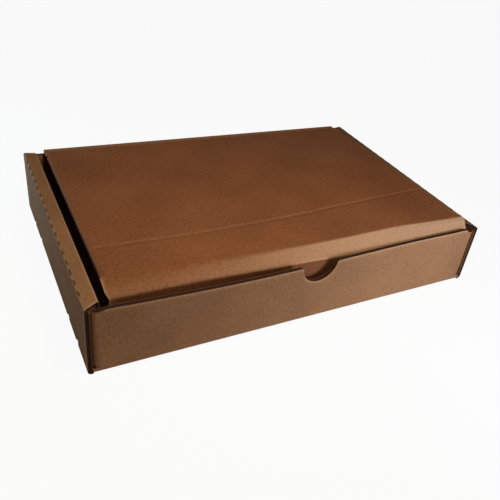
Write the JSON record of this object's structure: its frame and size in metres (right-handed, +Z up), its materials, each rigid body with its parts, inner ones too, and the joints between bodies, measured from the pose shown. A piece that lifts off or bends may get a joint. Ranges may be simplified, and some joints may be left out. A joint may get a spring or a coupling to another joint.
{
  "type": "corrugated cardboard mailer box with a tuck-front lid",
  "caption": "Shallow rectangular mailer box folded from one sheet of brown corrugated board, with rolled side walls, a thumb notch and a hinged lid that tucks into the front.",
  "frame": {"origin": "middle of the underside, between the side walls and midway between the front wall's foot and the back wall", "axes": "+X along the box to the right, -Y out of the front wall with the thumb notch, +Z up out of the lid"},
  "size_m": [0.303, 0.2053, 0.0553],
  "materials": {
    "outer_board": "matt brown kraft liner, unprinted",
    "lid_board": "matt brown kraft liner, unprinted"
  },
  "bodies": {
    "tray": {"tray": "outer_board"},
    "lid": {"lid": "lid_board"}
  },
  "joints": [
    {"name": "lid_hinge", "type": "hinge", "parent": "tray", "child": "lid", "pos_m": [0, 0.0995, 0.05], "axis": [-1, 0, 0], "range_deg": [0, 193]}
  ]
}
